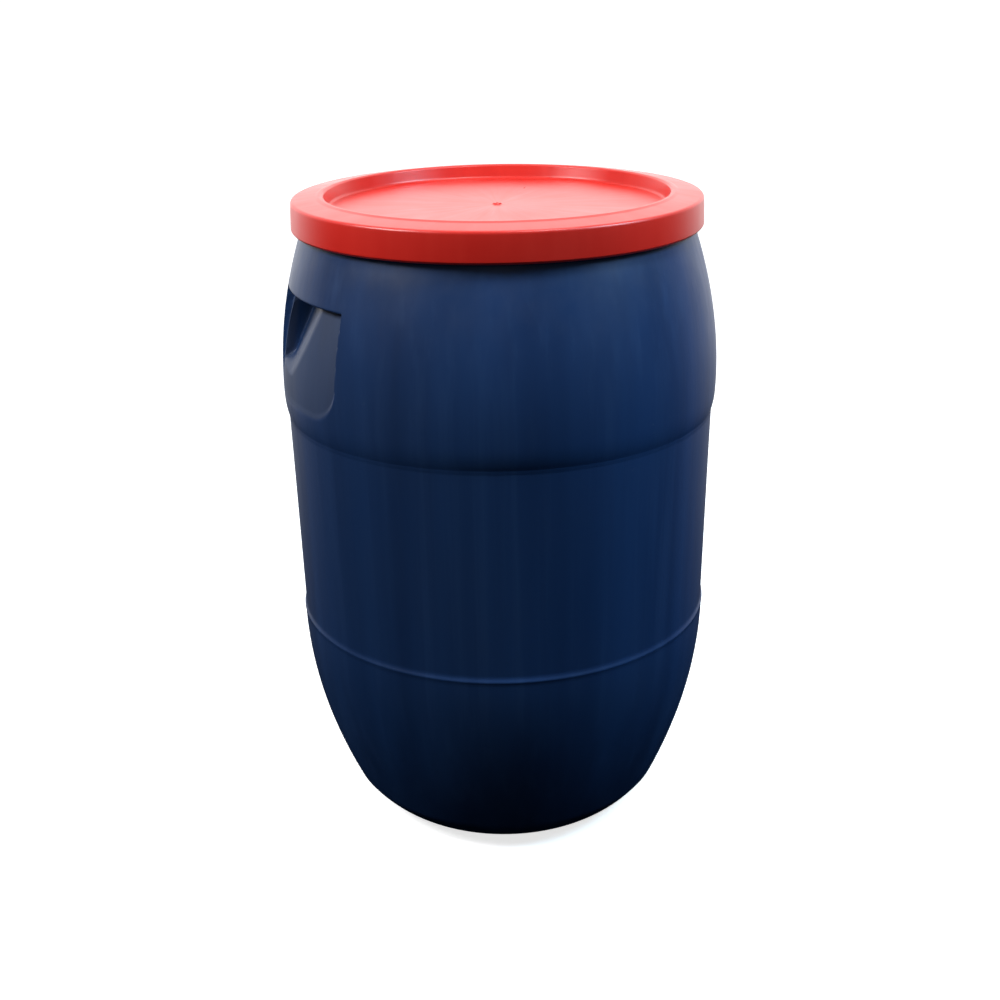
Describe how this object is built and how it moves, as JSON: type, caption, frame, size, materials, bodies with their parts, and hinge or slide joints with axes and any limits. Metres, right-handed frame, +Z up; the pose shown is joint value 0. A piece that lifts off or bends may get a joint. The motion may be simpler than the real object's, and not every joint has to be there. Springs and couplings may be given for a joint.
{
  "type": "open head drum",
  "caption": "Round plastic drum with a full-width mouth, bulged shoulder, tapered bowl, recessed side hand-holds and a press-on lid with a sunken top.",
  "frame": {"origin": "centre of the drum's base, on the plane of its standing ring", "axes": "+Z up along the drum's axis; the hand-holds face +X and -X; +Y completes the frame"},
  "size_m": [0.4036, 0.4038, 0.601],
  "materials": {
    "body_plastic": "satin, blow-moulded, faint vertical flow lines",
    "lid_plastic": "semi-gloss, injection-moulded",
    "seal_rubber": "matt black"
  },
  "bodies": {
    "drum": {"drum_body": "body_plastic"},
    "lid": {"lid": "lid_plastic", "lid_gasket": "seal_rubber"}
  },
  "joints": [
    {"name": "lid_lift", "type": "slide", "parent": "drum", "child": "lid", "axis": [0, 0, 1], "range_m": [0, 0.25]}
  ]
}
